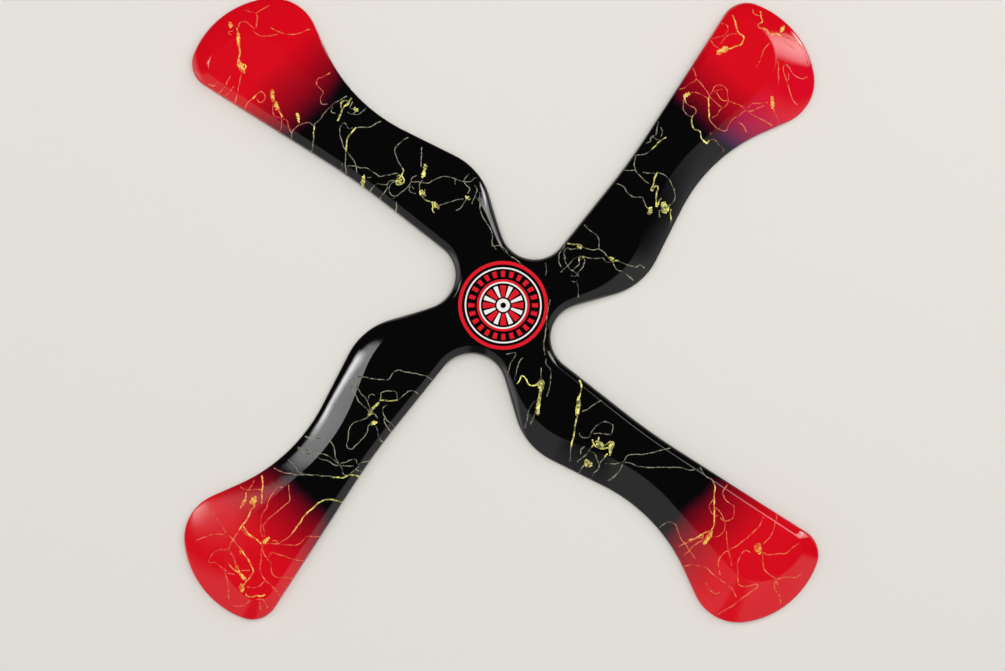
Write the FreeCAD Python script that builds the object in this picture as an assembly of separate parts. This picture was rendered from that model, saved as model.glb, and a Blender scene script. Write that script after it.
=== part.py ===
import FreeCAD
import Part
import math
import os

# A four-bladed boomerang that turns anticlockwise in flight, seen from its decorated face.
# It is sawn from a board of ten glued birch veneers, and its upper edges are planed to a
# rounded bevel: narrow and blunt along each leading edge, wide and thin along each trailing
# edge and round the tips.
# Millimetres. The boomerang lies on its flat back, with the hub's centre over the origin.

# Board
VENEER = 0.5              # one veneer, and all ten are alike
VENEER_NAMES = [          # from the back, which lies on the table, up to the face
    "back_veneer", "cross_veneer_9", "long_veneer_8", "cross_veneer_7", "core_veneer_6",
    "core_veneer_5", "cross_veneer_4", "long_veneer_3", "cross_veneer_2", "face_veneer"]
THIN_RIM_HEIGHT = 1.5     # the square edge that is left under the bevel
BLUNT_RIM_HEIGHT = 3.0    # and along the leading edges and in the notches
BEVEL_SWELL = 1.4         # 1 is a flat bevel, and more is rounder, steeper towards the rim
EMBLEM_R = 17.5           # the round emblem in the middle of the face
EMBLEM_THICK = 0.1

# Arms
ARMS = 4
FIRST_ARM_TURN = 45.0     # degrees from +X
REACH = 160.0             # from the hub's centre to the end of a tip

# Rim: one arm's outline, with the arm along +X. Its trailing edge is on the -Y side.
TIP_R = 35.5              # round end of the tip
TRAIL_CORNER_R = 18.0     # where the tip's end meets the trailing edge
TRAIL_CORNER_TURN = 37.0  # degrees off the arm's line, towards the trailing edge
LEAD_CORNER_R = 10.5      # where the tip's end meets the leading edge
LEAD_CORNER_TURN = 24.0
WAIST_AT = 97.9           # the hollow in the trailing edge: its place along the arm,
WAIST_DEPTH = 19.0        # how far it still stands off the arm's line,
WAIST_R = 67.0            # and its radius
ELBOW_AT = 47.4           # the bulge in the trailing edge near the hub
ELBOW_DEPTH = 30.7
ELBOW_R = 26.3
NOTCH_OUT = 31.4          # the round notch between two arms: its centre along the arm,
NOTCH_FLOOR = 0.3         # its floor, off the arm's line on the leading side,
NOTCH_R = 13.5            # and its radius
SWEEP_AT = 33.0           # the long shallow sweep of the leading edge
SWEEP_RISE = 1.8          # its lowest point over the notch's floor
SWEEP_R = 265.0

# Crown: the inner edge of the bevel, where the flat face begins. Each value says how far
# the crown's arc lies from the rim's, or gives the crown's own radius.
TIP_BEVEL = 9.2           # bevel at the end of the tip
CROWN_TIP_R = 26.0
CROWN_TIP_SIDE = 6.8      # the crown's tip lies nearer to the leading edge
CROWN_TRAIL_CORNER_R = 14.8
CROWN_TRAIL_CORNER_TURN = 14.4
CROWN_LEAD_CORNER_R = 6.5
CROWN_LEAD_CORNER_TURN = 8.2
WAIST_BEVEL = 10.4
WAIST_SHIFT = 1.5         # towards the hub
CROWN_WAIST_R = 73.0
ELBOW_BEVEL = 7.7
ELBOW_SHIFT = 6.1         # towards the hub
CROWN_ELBOW_R = 34.5
NOTCH_BEVEL = 2.2
SWEEP_SHIFT = 3.0         # towards the hub
CROWN_SWEEP_RISE = 1.5
CROWN_SWEEP_R = 300.0

SLACK = 0.98              # share of the largest arc that fits, so a short straight stays


def between(rim, crown, inset):
    """The value on the bevel, from the rim at inset 0 to the crown at inset 1."""
    return rim + (crown - rim) * inset


def fitted(radius, along, aside, other_r):
    """The radius, or less where the neighbouring arc leaves no room for that much.

    The arc's near point lies along and aside from the other arc's centre, and the two
    arcs bend opposite ways, so they join by a straight line only if they stay apart.
    """
    room = SLACK * (along ** 2 + aside ** 2 - other_r ** 2) / (2 * (other_r - aside))
    return min(radius, room)


def arm_arcs(inset, lead_inset):
    """One arm's arcs, going round with the wood on the left, for an arm along +X.

    The leading edge and the notch have an inset of their own. Each arc is its centre, its
    radius, negative where it bends inwards, and whether a straight line follows it.
    """
    notch_r = NOTCH_R + NOTCH_BEVEL * lead_inset
    notch_side = NOTCH_FLOOR + NOTCH_R
    sweep_y = notch_side - notch_r + between(SWEEP_RISE, CROWN_SWEEP_RISE, lead_inset)
    sweep_x = SWEEP_AT - SWEEP_SHIFT * lead_inset

    tip_r = between(TIP_R, CROWN_TIP_R, inset)
    tip_x = REACH - TIP_BEVEL * inset - tip_r
    tip_y = CROWN_TIP_SIDE * inset
    trail_r = between(TRAIL_CORNER_R, CROWN_TRAIL_CORNER_R, inset)
    trail_turn = math.radians(between(TRAIL_CORNER_TURN, CROWN_TRAIL_CORNER_TURN, inset))
    trail_x = tip_x + (tip_r - trail_r) * math.cos(trail_turn)
    trail_y = tip_y - (tip_r - trail_r) * math.sin(trail_turn)
    lead_r = between(LEAD_CORNER_R, CROWN_LEAD_CORNER_R, lead_inset)
    lead_turn = math.radians(between(LEAD_CORNER_TURN, CROWN_LEAD_CORNER_TURN, inset))
    lead_x = tip_x + (tip_r - lead_r) * math.cos(lead_turn)
    lead_y = tip_y + (tip_r - lead_r) * math.sin(lead_turn)

    elbow_x = ELBOW_AT - ELBOW_SHIFT * inset
    elbow_y = -ELBOW_DEPTH + ELBOW_BEVEL * inset
    elbow_r = fitted(between(ELBOW_R, CROWN_ELBOW_R, inset),
                     elbow_x - notch_side, elbow_y + NOTCH_OUT, notch_r)
    waist_x = WAIST_AT - WAIST_SHIFT * inset
    waist_y = -WAIST_DEPTH + WAIST_BEVEL * inset
    waist_r = fitted(between(WAIST_R, CROWN_WAIST_R, inset),
                     waist_x - elbow_x, elbow_y + elbow_r - waist_y, elbow_r)
    waist_r = fitted(waist_r, trail_x - waist_x, trail_y - waist_y, trail_r)
    sweep_r = fitted(between(SWEEP_R, CROWN_SWEEP_R, lead_inset),
                     lead_x - sweep_x, sweep_y - lead_y, lead_r)
    return [
        (notch_side, -NOTCH_OUT, -notch_r, True),
        (elbow_x, elbow_y + elbow_r, elbow_r, True),
        (waist_x, waist_y - waist_r, -waist_r, True),
        (trail_x, trail_y, trail_r, False),
        (tip_x, tip_y, tip_r, False),
        (lead_x, lead_y, lead_r, True),
        (sweep_x, sweep_y + sweep_r, -sweep_r, True)]


def all_arcs(inset, lead_inset):
    """The arcs of all the arms, in order round the boomerang."""
    arcs = []
    for arm in range(ARMS):
        turn = math.radians(FIRST_ARM_TURN + arm * 360.0 / ARMS)
        for x, y, radius, straight in arm_arcs(inset, lead_inset):
            centre = FreeCAD.Vector(x * math.cos(turn) - y * math.sin(turn),
                                    x * math.sin(turn) + y * math.cos(turn), 0)
            arcs.append((centre, radius, straight))
    return arcs


def inward(arc, following):
    """The direction into the wood, square to the line that touches both arcs."""
    gap = following[0] - arc[0]
    cosine = max(-1.0, min(1.0, (following[1] - arc[1]) / gap.Length))
    sine = math.sqrt(1 - cosine ** 2)
    gap.normalize()
    return gap * cosine + FreeCAD.Vector(-gap.y, gap.x, 0) * sine


def inset_at(height, rim_height, top):
    """How far in the bevel has come at a height: 0 on the rim and 1 at the crown."""
    return max(0.0, (height - rim_height) / (top - rim_height)) ** BEVEL_SWELL


def outline(height, top):
    """The closed outline of the wood at a height."""
    arcs = all_arcs(inset_at(height, THIN_RIM_HEIGHT, top), inset_at(height, BLUNT_RIM_HEIGHT, top))
    lift = FreeCAD.Vector(0, 0, height)
    into = [inward(arc, arcs[(i + 1) % len(arcs)]) for i, arc in enumerate(arcs)]
    edges = []
    start = arcs[0][0] - into[-1] * arcs[0][1] + lift
    first = start
    for i, (centre, radius, straight) in enumerate(arcs):
        halfway = (into[i - 1] + into[i]).normalize()
        end = centre - into[i] * radius + lift
        edges.append(Part.Arc(start, centre - halfway * radius + lift, end).toShape())
        start = end
        if straight:
            following, following_r, _ = arcs[(i + 1) % len(arcs)]
            end = first if i == len(arcs) - 1 else following - into[i] * following_r + lift
            edges.append(Part.LineSegment(start, end).toShape())
            start = end
    return Part.Wire(edges)


def veneer(low, high, top):
    """The part of the board between two heights, as wide as the bevel leaves it."""
    if high <= THIN_RIM_HEIGHT:
        return Part.Face(outline(low, top)).extrude(FreeCAD.Vector(0, 0, high - low))
    return Part.makeLoft([outline(low, top), outline(high, top)], True, True)


def emblem(top):
    """The round printed emblem, a film that lies on the face over the hub."""
    return Part.makeCylinder(EMBLEM_R, EMBLEM_THICK, FreeCAD.Vector(0, 0, top))


os.makedirs("parts", exist_ok=True)
board_top = VENEER * len(VENEER_NAMES)
for number, name in enumerate(VENEER_NAMES):
    low = VENEER * number
    veneer(low, low + VENEER, board_top).exportStep("parts/" + name + ".step")
emblem(board_top).exportStep("parts/centre_emblem.step")
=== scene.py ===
import bpy
import math
import random
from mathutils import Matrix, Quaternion, Vector, noise


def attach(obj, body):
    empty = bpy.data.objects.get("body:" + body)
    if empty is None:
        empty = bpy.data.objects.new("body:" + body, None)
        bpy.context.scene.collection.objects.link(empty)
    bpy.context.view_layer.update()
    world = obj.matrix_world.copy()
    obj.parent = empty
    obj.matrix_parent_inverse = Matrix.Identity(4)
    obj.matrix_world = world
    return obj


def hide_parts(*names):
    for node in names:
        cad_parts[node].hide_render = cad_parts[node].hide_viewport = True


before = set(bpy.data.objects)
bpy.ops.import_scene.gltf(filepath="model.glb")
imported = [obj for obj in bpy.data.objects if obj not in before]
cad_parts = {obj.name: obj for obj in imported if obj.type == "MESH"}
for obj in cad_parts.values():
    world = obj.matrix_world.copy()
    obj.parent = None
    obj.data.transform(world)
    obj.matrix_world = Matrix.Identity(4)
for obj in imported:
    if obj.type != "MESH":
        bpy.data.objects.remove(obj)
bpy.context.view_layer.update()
bpy.ops.object.select_all(action="DESELECT")

# The camera hangs over the boomerang, which lies flat on the table, and leans a little towards
# the near side. It is far off and has a long lens, as for a catalogue picture.
CAMERA_LENS = 136.8                              # millimetres, on a sensor 36 mm wide
CAMERA_LEAN = math.radians(8.651)                # away from straight down, about X
CAMERA_SWAY = math.radians(-1.548)               # and then about its own Y
HUB_SEEN = Vector((0.00013, 0.0110, -1.4918))    # the hub from the camera, in metres

bpy.ops.object.camera_add()
camera = bpy.context.object
camera.name = "camera"
camera.data.lens = CAMERA_LENS
camera.data.sensor_width = 36
camera.rotation_mode = "YXZ"
camera.rotation_euler = (CAMERA_LEAN, CAMERA_SWAY, 0)
camera.location = -(camera.rotation_euler.to_matrix() @ HUB_SEEN)
bpy.context.scene.camera = camera


# The board is ten birch veneers glued crosswise, sawn to four blades and planed on the upper
# side to a rounded bevel, narrow along each leading edge and wide along each trailing edge. It is
# sanded at the edges and sprayed with gloss black, red over the tips, and clear lacquer.
MM = 0.001
VENEER = 0.5
VENEERS = ["back_veneer", "cross_veneer_9", "long_veneer_8", "cross_veneer_7", "core_veneer_6",
           "core_veneer_5", "cross_veneer_4", "long_veneer_3", "cross_veneer_2", "face_veneer"]
BOARD_TOP = VENEER * len(VENEERS)
THIN_RIM = 1.5           # height of the square edge below the bevel
BLUNT_RIM = 3.0          # and along the leading edges and in the notches
BEVEL_SWELL = 1.4        # 1 is a flat bevel, and more is rounder
RIM_ROUND = 0.3          # how far the edge of the thin rim is sanded, measured along the bevel,
BACK_ROUND = 0.3         # the edge round the flat back,
CROWN_ROUND = 0.45       # and the crown, the edge between the bevel and the flat face
ROUND_STEPS = 4

BLADES = {               # degrees that each blade is turned from +X
    "upper_right": 45,
    "upper_left": 135,
    "lower_left": 225,
    "lower_right": 315,
}
# One blade along +X, in millimetres. Each pair is a value on the rim, and the same on the crown.
TIP_END = (160.0, 150.8)            # how far out the tip reaches
TIP_SIDE = (0.0, 6.8)               # its middle, off the blade's line towards the leading edge
TIP_R = (35.5, 26.0)
TRAIL_CORNER_R = (18.0, 14.8)       # where the tip meets the trailing edge
TRAIL_CORNER_TURN = (-37.0, -14.4)  # degrees off the blade's line
LEAD_CORNER_R = (10.5, 6.5)         # where it meets the leading edge
LEAD_CORNER_TURN = (24.0, 8.2)
WAIST_AT = (97.9, 96.4)             # the hollow in the trailing edge: its place along the blade,
WAIST_SIDE = (-19.0, -8.6)          # its place off the blade's line,
WAIST_R = (67.0, 73.0)              # and its radius
ELBOW_AT = (47.4, 41.3)             # the bulge in the trailing edge near the hub
ELBOW_SIDE = (-30.7, -23.0)
ELBOW_R = (26.3, 34.5)
NOTCH = Vector((13.8, -31.4))       # centre of the round notch between two blades
NOTCH_R = (13.5, 15.7)
SWEEP_AT = (33.0, 30.0)             # the long shallow sweep of the leading edge
SWEEP_RISE = (1.8, 1.5)             # its lowest point over the floor of the notch
SWEEP_R = (265.0, 300.0)

BLACK = (0.0016, 0.0015, 0.0017)
RED = (0.63, 0.0022, 0.0095)
SPRAY = [(0.0, BLACK), (0.08, (0.025, 0.0015, 0.006)), (0.4, (0.26, 0.0015, 0.008)), (1.0, RED)]
FADE_START = 0.1045                 # where the red begins, in metres from the hub
FADE_LENGTH = 0.027
FADE_LAG = 1.2                      # how much later it begins for each step down the bevel
FADE_CLOUD = 0.006                  # how unevenly it is sprayed
PAINTED_VIOLET_SHEEN = (0, 0.001, 0.037, 1)  # painted sheen: a bluish violet reflection painted on the wide bevel of the upper right blade
SHEEN_BEVEL_SIDE = (0.0155, 0.0185)      # where that bevel begins, by how much X is more than Y
SHEEN_BEVEL_OUTER = (0.03, 0.04)         # and by Y, which leaves out the other blades
SHEEN_COMES = (0.0, 0.12)            # how far into the fade the painted sheen starts
SHEEN_GOES = (0.55, 1.15)            # and ends
SHEEN_LEFT = 0.15                    # share of it on the full red
GLOSS = 0.035                       # roughness of the clear lacquer
SPECKS = 0.05                       # how much rougher its specks of dust are
RUBBED = 0.13                       # and the worn corner of the lower left tip
RUBBED_TIP = (-0.114, -0.083, 0)
RUBBED_REACH = (0.024, 0.010)       # how far from there the wear starts, and where it is full
BIRCH_DARK = (0.50, 0.33, 0.18)
BIRCH_PALE = (0.72, 0.54, 0.35)
BIRCH_ROUGHNESS = 0.5
FIBRE_ROUGHNESS = 0.2               # how much rougher its palest fibres are
FIBRES_ACROSS = 400                 # how fine the grain is across its fibres
FIBRES_ALONG = 12                   # and along them


class Value:
    """A shader value. A sum with it adds a Math node, and node() adds any other node."""

    def __init__(self, socket):
        self.socket = socket

    def node(self, kind, settings, inputs, output=0):
        made = self.socket.id_data.nodes.new("ShaderNode" + kind)
        for name, setting in settings.items():
            if name == "stops":
                while len(made.color_ramp.elements) < len(setting):
                    made.color_ramp.elements.new(1)
                for stop, (position, colour) in zip(made.color_ramp.elements, setting):
                    stop.position = position
                    stop.color = (*colour, 1)
            else:
                setattr(made, name, setting)
        for name, given in inputs.items():
            if isinstance(given, Value):
                self.socket.id_data.links.new(given.socket, made.inputs[name])
            else:
                made.inputs[name].default_value = given
        return Value(made.outputs[output])

    def maths(self, operation, *values):
        return self.node("Math", {"operation": operation}, dict(enumerate(values)))

    def __add__(self, other):
        return self.maths("ADD", self, other)

    def __sub__(self, other):
        return self.maths("SUBTRACT", self, other)

    def __mul__(self, other):
        return self.maths("MULTIPLY", self, other)

    def __truediv__(self, other):
        return self.maths("DIVIDE", self, other)

    def __pow__(self, other):
        return self.maths("POWER", self, other)

    def __rsub__(self, other):
        return self.maths("SUBTRACT", other, self)

    __radd__ = __add__
    __rmul__ = __mul__

    def ramp(self, start, end, low=0, high=1):
        """Low up to the start, high from the end on, and even between them."""
        return self.node("MapRange", {}, {0: self, 1: start, 2: end, 3: low, 4: high})

    def mix(self, first, second, blend="MIX"):
        """The first colour where this value is 0, and blended with the second where it is 1."""
        settings = {"data_type": "RGBA", "blend_type": blend}
        return self.node("Mix", settings, {0: self, 6: first, 7: second}, 2)

    def axis(self, letter):
        """X, Y or Z of a place."""
        return self.node("SeparateXYZ", {}, {0: self}, letter)

    def cloud(self, scale, detail, roughness=0.5):
        """Soft random spots at a place, from 0 to 1."""
        inputs = {"Vector": self, "Scale": scale, "Detail": detail, "Roughness": roughness}
        return self.node("TexNoise", {}, inputs, "Fac")

    def emboss(self, shader, depth):
        """This value as relief on a surface, so many metres deep."""
        self.node("Bump", {}, {"Height": self, "Distance": depth}).feed(shader, "Normal")

    def feed(self, shader, name):
        self.socket.id_data.links.new(self.socket, shader.inputs[name])


def new_finish(name):
    """A material, its shader, and the coordinates of the object that wears it."""
    finish = bpy.data.materials.new(name)
    finish.use_nodes = True
    place = finish.node_tree.nodes.new("ShaderNodeTexCoord").outputs["Object"]
    return finish, finish.node_tree.nodes["Principled BSDF"], Value(place)


def from_above(place):
    """The place without its height."""
    return place.node("VectorMath", {"operation": "MULTIPLY"}, {0: place, 1: (1, 1, 0)})


def spray_reach(place):
    """How far out from the hub a place lies for the spray, which lags on the bevel."""
    flat = from_above(place)
    reach = flat.node("VectorMath", {"operation": "LENGTH"}, {0: flat}, "Value")
    return reach - FADE_LAG * (BOARD_TOP * MM - place.axis("Z"))


def orange_peel(place, shader):
    """The faint waves of sprayed lacquer."""
    place.cloud(scale=350, detail=1).emboss(shader, 0.00001)


def lacquer_finish():
    finish, shader, place = new_finish("black_and_red_lacquer")
    uneven = FADE_CLOUD * (place.cloud(scale=60, detail=2) - 0.5)
    red = (spray_reach(place) - FADE_START + uneven) / FADE_LENGTH
    sprayed = red.node("ValToRGB", {"stops": SPRAY}, {0: red})
    # The violet added on the wide bevel of the upper right blade is painted sheen, a reflection put into the
    # base colour.
    outward = place.axis("Y")
    wide_bevel = (place.axis("X") - outward).ramp(*SHEEN_BEVEL_SIDE) * outward.ramp(*SHEEN_BEVEL_OUTER)
    painted_sheen = wide_bevel * red.ramp(*SHEEN_COMES) * red.ramp(*SHEEN_GOES, 1, SHEEN_LEFT)
    painted_sheen.mix(sprayed, PAINTED_VIOLET_SHEEN, "ADD").feed(shader, "Base Color")
    flat = from_above(place)
    away = flat.node("VectorMath", {"operation": "DISTANCE"}, {0: flat, 1: RUBBED_TIP}, "Value")
    specks = place.cloud(scale=900, detail=2)
    (GLOSS + SPECKS * specks + RUBBED * away.ramp(*RUBBED_REACH)).feed(shader, "Roughness")
    orange_peel(place, shader)
    return finish


def birch_finish(name, crosswise):
    """Bare birch, seen only where the veneers are taken apart. The grain runs along X, or along Y."""
    finish, shader, place = new_finish(name)
    if crosswise:
        stretch = (FIBRES_ACROSS, FIBRES_ALONG, FIBRES_ALONG)
    else:
        stretch = (FIBRES_ALONG, FIBRES_ACROSS, FIBRES_ALONG)
    fibre = place.node("Mapping", {}, {"Vector": place, "Scale": stretch}).cloud(scale=3, detail=5)
    stops = [(0.3, BIRCH_DARK), (0.7, BIRCH_PALE)]
    fibre.node("ValToRGB", {"stops": stops}, {0: fibre}).feed(shader, "Base Color")
    (BIRCH_ROUGHNESS + FIBRE_ROUGHNESS * fibre).feed(shader, "Roughness")
    fibre.emboss(shader, 0.00003)
    return finish


def between(pair, inset):
    """The value on the bevel, from the rim at inset 0 to the crown at inset 1."""
    rim, crown = pair
    return rim + (crown - rim) * inset


def blade_arcs(inset, lead_inset):
    """The arcs round one blade along +X, wood on the left, in millimetres.

    The leading edge and the notch have an inset of their own. Each arc has its centre, its
    radius, negative where it bends inwards, and how many steps it and the straight line after it
    are divided into.
    """
    tip_r = between(TIP_R, inset)
    tip = Vector((between(TIP_END, inset) - tip_r, between(TIP_SIDE, inset)))
    trail_r = between(TRAIL_CORNER_R, inset)
    trail_turn = math.radians(between(TRAIL_CORNER_TURN, inset))
    trail = tip + (tip_r - trail_r) * Vector((math.cos(trail_turn), math.sin(trail_turn)))
    lead_r = between(LEAD_CORNER_R, lead_inset)
    lead_turn = math.radians(between(LEAD_CORNER_TURN, inset))
    lead = tip + (tip_r - lead_r) * Vector((math.cos(lead_turn), math.sin(lead_turn)))
    notch_r = between(NOTCH_R, lead_inset)
    elbow_r = between(ELBOW_R, inset)
    elbow = Vector((between(ELBOW_AT, inset), between(ELBOW_SIDE, inset) + elbow_r))
    waist_r = between(WAIST_R, inset)
    waist = Vector((between(WAIST_AT, inset), between(WAIST_SIDE, inset) - waist_r))
    sweep_r = between(SWEEP_R, lead_inset)
    notch_floor = NOTCH.x - notch_r
    sweep_floor = notch_floor + between(SWEEP_RISE, lead_inset)
    sweep = Vector((between(SWEEP_AT, lead_inset), sweep_floor + sweep_r))
    return [
        (NOTCH, -notch_r, 26, 10),
        (elbow, elbow_r, 14, 12),
        (waist, -waist_r, 24, 10),
        (trail, trail_r, 18, 0),
        (tip, tip_r, 24, 0),
        (lead, lead_r, 20, 30),
        (sweep, -sweep_r, 14, 16)]


def inset_at(height, rim_height):
    """How far in the bevel has come at a height."""
    return max(0.0, (height - rim_height) / (BOARD_TOP - rim_height)) ** BEVEL_SWELL


def turn_point(x, y, degrees):
    """A point in the plane of the board, turned about the hub."""
    cosine, sine = math.cos(math.radians(degrees)), math.sin(math.radians(degrees))
    return Vector((x * cosine - y * sine, x * sine + y * cosine))


def outline(height):
    """Points round the whole board at a height, in metres, in the same order at every height."""
    one_blade = blade_arcs(inset_at(height, THIN_RIM), inset_at(height, BLUNT_RIM))
    arcs = []
    for degrees in BLADES.values():
        for centre, radius, steps, line_steps in one_blade:
            arcs.append((turn_point(centre.x, centre.y, degrees), radius, steps, line_steps))
    following = arcs[1:] + arcs[:1]
    into = []                # for each arc, the way from its end straight into the wood
    for (centre, radius, _, _), (next_centre, next_radius, _, _) in zip(arcs, following):
        gap = next_centre - centre
        cosine = max(-1.0, min(1.0, (next_radius - radius) / gap.length))
        gap.normalize()
        into.append(gap * cosine + Vector((-gap.y, gap.x)) * math.sqrt(1 - cosine ** 2))
    points = []
    for i, (centre, radius, steps, line_steps) in enumerate(arcs):
        first = math.atan2(-into[i - 1].y, -into[i - 1].x)
        sweep = -into[i - 1].angle_signed(into[i])
        for step in range(steps):
            angle = first + sweep * step / steps
            points.append(centre + radius * Vector((math.cos(angle), math.sin(angle))))
        arc_end = centre - radius * into[i]
        line_end = following[i][0] - following[i][1] * into[i]
        for step in range(line_steps):
            points.append(arc_end.lerp(line_end, step / line_steps))
    return [point * MM for point in points]


def select_only(item, kind, test):
    """Goes to edit mode with only those edges or vertices of the object selected that pass the test."""
    if bpy.context.mode == "EDIT_MESH":
        bpy.ops.object.mode_set(mode="OBJECT")
    for group in (item.data.vertices, item.data.edges, item.data.polygons):
        group.foreach_set("select", [False] * len(group))
    for part in getattr(item.data, kind):
        part.select = test(part)
    bpy.ops.object.mode_set(mode="EDIT")
    bpy.ops.mesh.select_mode(type={"vertices": "VERT", "edges": "EDGE"}[kind])


def cut_level(height, **keep):
    """In edit mode, cuts the board at a height, and gives the cut the second material."""
    bpy.ops.mesh.select_all(action="SELECT")
    bpy.ops.mesh.bisect(plane_co=(0, 0, height * MM), plane_no=(0, 0, 1), use_fill=True,
                        threshold=1e-7, **keep)
    bpy.ops.object.material_slot_assign()


# The board is drawn up from its outline, one veneer at a time, each level then takes its own
# outline, and the edges are sanded round.
levels = [outline(ply * VENEER) for ply in range(len(VENEERS) + 1)]
bpy.ops.mesh.primitive_circle_add(vertices=len(levels[0]), fill_type="NGON")
board = bpy.context.object
board.name = "whole_board"
for vertex, point in zip(board.data.vertices, levels[0]):
    vertex.co = (point.x, point.y, 0)
bpy.ops.object.mode_set(mode="EDIT")
bpy.ops.mesh.select_all(action="SELECT")
for _ in VENEERS:
    bpy.ops.mesh.extrude_region_move(TRANSFORM_OT_translate={"value": (0, 0, VENEER * MM)})
bpy.ops.mesh.select_all(action="SELECT")
bpy.ops.mesh.normals_make_consistent(inside=False)
bpy.ops.object.mode_set(mode="OBJECT")
numbers = {point.to_tuple(6): number for number, point in enumerate(levels[0])}
for vertex in board.data.vertices:
    level = levels[round(vertex.co.z / (VENEER * MM))]
    vertex.co.xy = level[numbers[vertex.co.xy.to_tuple(6)]]
for height, width in ((THIN_RIM, RIM_ROUND), (0, BACK_ROUND), (BOARD_TOP, CROWN_ROUND)):
    corners = board.data.vertices
    edge_ring = {corner.index for corner in corners if abs(corner.co.z - height * MM) < 1e-6}
    select_only(board, "edges", lambda edge: edge_ring.issuperset(edge.vertices))
    bpy.ops.mesh.bevel(offset=width * MM, segments=ROUND_STEPS, affect="EDGES")
    bpy.ops.object.mode_set(mode="OBJECT")
bpy.ops.object.mode_set(mode="EDIT")
bpy.ops.mesh.select_all(action="SELECT")
bpy.ops.mesh.bisect(plane_co=(0, 0, THIN_RIM * MM), plane_no=(0, 0, 1), threshold=1e-7)
bpy.ops.object.mode_set(mode="OBJECT")
bpy.ops.object.shade_smooth()
bpy.ops.object.modifier_add(type="WEIGHTED_NORMAL")
bpy.ops.object.modifier_apply(modifier=board.modifiers[0].name)
sheen = {}
for loop, corner in zip(board.data.loops, board.data.corner_normals):
    sheen[board.data.vertices[loop.vertex_index].co.to_tuple(7)] = corner.vector.copy()

# Each veneer is a copy of the board, cut off below and above. Its edge keeps the way in which the
# whole board faces there, so that the lacquer shines as one skin.
lacquer = lacquer_finish()
long_birch = birch_finish("birch_along", False)
cross_birch = birch_finish("birch_across", True)
for ply, name in enumerate(VENEERS):
    bpy.ops.object.select_all(action="DESELECT")
    board.select_set(True)
    bpy.context.view_layer.objects.active = board
    bpy.ops.object.duplicate()
    veneer = bpy.context.object
    veneer.name = name + "_shaped"
    veneer.data.materials.append(lacquer)
    veneer.data.materials.append(cross_birch if name.startswith("cross") else long_birch)
    veneer.active_material_index = 1
    bpy.ops.object.mode_set(mode="EDIT")
    if ply > 0:
        cut_level(ply * VENEER, clear_inner=True)
    if ply < len(VENEERS) - 1:
        cut_level((ply + 1) * VENEER, clear_outer=True)
    bpy.ops.object.mode_set(mode="OBJECT")
    normals = []
    for face in veneer.data.polygons:
        face.use_smooth = True
        for corner in face.vertices:
            place = veneer.data.vertices[corner].co.to_tuple(7)
            normals.append(face.normal if face.material_index else sheen.get(place, face.normal))
    veneer.data.normals_split_custom_set(normals)
    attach(veneer, "root")
    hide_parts(name)


# The emblem is a thin round print on the hub: a red and white sun within rings, on black. The last
# lacquer covers it as well.
PRINT_RED = (0.66, 0.011, 0.02, 1)
PRINT_WHITE = (0.80, 0.78, 0.74, 1)
PRINT_GLOSS = 0.06
RED_RIM = (16.1, 17.6)              # each ring's inner and outer radius, in millimetres
WHITE_LINE = (14.4, 15.0)
RED_TEETH = (11.2, 13.6)
RED_LINE = (9.3, 10.3)
WHITE_BAND = (8.7, 9.3)
RAYS = (3.3, 7.9)
WHITE_EYE = (1.1, 2.6)

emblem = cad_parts["centre_emblem"]
emblem_finish, shader, place = new_finish("emblem_print")
x, y = place.axis("X"), place.axis("Y")
off_middle = 1000 * (x * x + y * y) ** 0.5
turn = y.maths("ARCTAN2", y, x) / (2 * math.pi)


def ring(inner, outer):
    """1 between two radii in millimetres, and 0 elsewhere."""
    return off_middle.maths("COMPARE", off_middle, (inner + outer) / 2, (outer - inner) / 2)


def wedges(count, share, start):
    """1 in equal wedges that together fill a share of the turn, and 0 between them."""
    folded = turn.maths("PINGPONG", turn * count + start, 0.5)
    return folded.maths("LESS_THAN", folded, share / 2)


red_print = ring(*RED_RIM) + ring(*RED_LINE) + ring(*RED_TEETH) * wedges(24, 0.5, 0) \
    + ring(*RAYS) * wedges(8, 0.42, 0)
white_print = ring(*WHITE_LINE) + ring(*WHITE_BAND) + ring(*WHITE_EYE) \
    + ring(*RAYS) * wedges(8, 0.3, 0.5)
white_print.mix(red_print.mix((*BLACK, 1), PRINT_RED), PRINT_WHITE).feed(shader, "Base Color")
shader.inputs["Roughness"].default_value = PRINT_GLOSS
orange_peel(place, shader)
emblem.data.materials.clear()
emblem.data.materials.append(emblem_finish)


# Threads of runny yellow paint, flicked over the blades and stuck under the last lacquer. Most
# are thin and dull, the fresh ends are thick and bright, and some are tangled into blots.
# A thread's points are in millimetres: along its blade, and across it towards the leading edge.
SEEN_SHIFT = Vector((-0.14, -0.76))  # the face stands 5 mm nearer to the camera than the table
DULL_THICKNESS = 0.66
DULL_RISE = 0.07                     # how far a thread stands off the lacquer
BRIGHT_THICKNESS = 0.90
BRIGHT_RISE = 0.11
DULL_OVER_BLACK = ((0.028, 0.028, 0.023), (0.30, 0.295, 0.20))     # where it is thin, and thick
DULL_OVER_RED = ((0.52, 0.012, 0.015), (0.80, 0.20, 0.07))
BRIGHT_OVER_BLACK = ((0.10, 0.095, 0.035), (0.95, 0.89, 0.22))
BRIGHT_OVER_RED = ((0.66, 0.10, 0.02), (0.92, 0.70, 0.12))
PAINT_ROUGHNESS = 0.12
RUN_ROUGHNESS = 0.2                  # how much rougher it is where it has run thick
OVER_RED = (-0.002, 0.009)           # where its colour turns, in metres past the start of the red
DROPPED_FROM = 0.02                  # height in metres from which a thread drops on the board
WANDER = 0.28                        # how far it strays sideways, in millimetres,
WANDER_STEP = 2.4                    # and over what length
SWELLS = ((0.7, 2.2), (0.5, 0.7))    # how much its thickness varies, and over what length
THINNEST = 0.5                       # share of its thickness
FOLD_STEP = 0.45                     # how close the folds of a blot lie, in millimetres,
FOLD_REACH = (0.55, 1.0)             # how far across the blot they go
FOLD_STRAY = 0.15                    # and how far along it they stray
SEED = 7

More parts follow.
